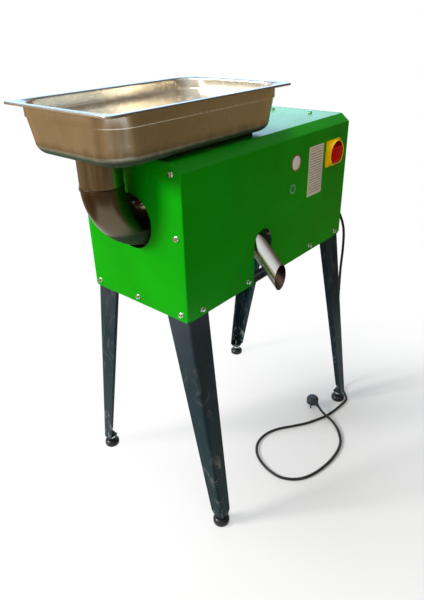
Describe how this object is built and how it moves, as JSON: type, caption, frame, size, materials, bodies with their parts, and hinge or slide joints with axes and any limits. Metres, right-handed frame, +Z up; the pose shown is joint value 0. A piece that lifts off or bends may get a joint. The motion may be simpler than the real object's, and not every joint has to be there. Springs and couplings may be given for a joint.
{
  "type": "electric tomato strainer",
  "caption": "Floor-standing electric tomato strainer: sheet casing on splayed legs, hopper pan feeding an elbow, drum sieve with paddle rotor, slanted juice spout and flap switch.",
  "frame": {"origin": "on the floor under the foot pads, below the middle of the box round the part without its cord and plug", "axes": "+X runs along the casing from the inlet elbow to the motor end, +Y runs from the front, which has the spout and the switch, to the back, +Z is up"},
  "size_m": [0.8918, 0.5939, 1.0549],
  "materials": {
    "green_paint": "gloss enamel on sheet steel",
    "dark_paint": "satin enamel on steel",
    "pan_steel": "satin stainless steel",
    "steel": "plain stainless steel",
    "zinc": "zinc-plated steel",
    "shaft_steel": "turned steel",
    "foot_rubber": "moulded rubber on a zinc-plated stud",
    "black_rubber": "matte",
    "gasket_rubber": "food-grade red rubber",
    "motor_grey": "grey paint over a cast body",
    "cover_grey": "satin grey paint",
    "black_plastic": "moulded",
    "dark_plastic": "moulded",
    "pale_plastic": "moulded",
    "yellow_plastic": "moulded",
    "red_plastic": "moulded",
    "green_plastic": "moulded",
    "label_grey": "bare printed-label stock with no printing",
    "label_round": "bare sticker with no printing",
    "cord_rubber": "matte black sheath"
  },
  "bodies": {
    "casing": {"body_shell": "green_paint", "inlet_end_plate": "green_paint", "drive_end_plate": "green_paint", "base_frame": "dark_paint", "top_stiffeners": "dark_paint", "leg_front_inlet": "dark_paint", "leg_front_drive": "dark_paint", "leg_back_inlet": "dark_paint", "leg_back_drive": "dark_paint", "foot_nuts": "zinc", "leg_bolts": "zinc", "casing_screws": "zinc", "pan_rests": "black_rubber", "inlet_elbow": "steel", "inlet_gasket": "gasket_rubber", "inlet_cover": "steel", "inlet_bolts": "zinc", "drum_housing": "steel", "sieve_drum": "steel", "drum_partition": "steel", "juice_spout": "steel", "waste_chute": "steel", "bulkhead": "dark_paint", "housing_bolts": "zinc", "shaft_seal": "black_rubber", "motor_body": "motor_grey", "motor_bearings": "shaft_steel", "fan_cover": "cover_grey", "terminal_box": "dark_plastic", "capacitor": "pale_plastic", "motor_bolts": "zinc", "switch_plate": "yellow_plastic", "switch_collar": "yellow_plastic", "switch_insert": "red_plastic", "contact_block": "black_plastic", "instruction_plate": "label_grey", "round_labels": "label_round", "cable_gland": "black_plastic", "gland_nut": "zinc", "inner_wires": "cord_rubber", "mains_cord": "cord_rubber", "mains_plug": "black_plastic"},
    "hopper": {"hopper_pan": "pan_steel", "hopper_pipe": "steel"},
    "rotor": {"rotor_shaft": "shaft_steel", "rotor_hub": "steel", "rotor_bolt": "zinc", "rotor_spiders": "steel", "rotor_paddles": "steel", "feed_flight": "steel", "rotor_nose": "steel", "waste_vanes": "steel", "motor_fan": "black_plastic"},
    "flap": {"switch_flap": "red_plastic"},
    "start_button": {"start_button": "green_plastic"},
    "stop_button": {"stop_button": "red_plastic"},
    "foot_front_inlet": {"foot_front_inlet": "foot_rubber"},
    "foot_front_drive": {"foot_front_drive": "foot_rubber"},
    "foot_back_inlet": {"foot_back_inlet": "foot_rubber"},
    "foot_back_drive": {"foot_back_drive": "foot_rubber"}
  },
  "joints": [
    {"name": "hopper_lift", "type": "slide", "parent": "casing", "child": "hopper", "axis": [0, 0, 1], "range_m": [0, 0.12]},
    {"name": "rotor_spin", "type": "hinge", "parent": "casing", "child": "rotor", "pos_m": [0.0665, 0, 0.78], "axis": [1, 0, 0], "continuous": true},
    {"name": "flap_hinge", "type": "hinge", "parent": "casing", "child": "flap", "pos_m": [0.3185, -0.1708, 0.87], "axis": [-1, 0, 0], "range_deg": [0, 100]},
    {"name": "start_press", "type": "slide", "parent": "casing", "child": "start_button", "axis": [0, 1, 0], "range_m": [0, 0.003], "stiffness_N_per_m": 400},
    {"name": "stop_press", "type": "slide", "parent": "casing", "child": "stop_button", "axis": [0, 1, 0], "range_m": [0, 0.003], "stiffness_N_per_m": 400},
    {"name": "foot_front_inlet_turn", "type": "hinge", "parent": "casing", "child": "foot_front_inlet", "pos_m": [-0.2505, -0.223, 0], "axis": [0, 0, 1], "continuous": true},
    {"name": "foot_front_drive_turn", "type": "hinge", "parent": "casing", "child": "foot_front_drive", "pos_m": [0.3835, -0.223, 0], "axis": [0, 0, 1], "continuous": true},
    {"name": "foot_back_inlet_turn", "type": "hinge", "parent": "casing", "child": "foot_back_inlet", "pos_m": [-0.2505, 0.223, 0], "axis": [0, 0, 1], "continuous": true},
    {"name": "foot_back_drive_turn", "type": "hinge", "parent": "casing", "child": "foot_back_drive", "pos_m": [0.3835, 0.223, 0], "axis": [0, 0, 1], "continuous": true}
  ]
}
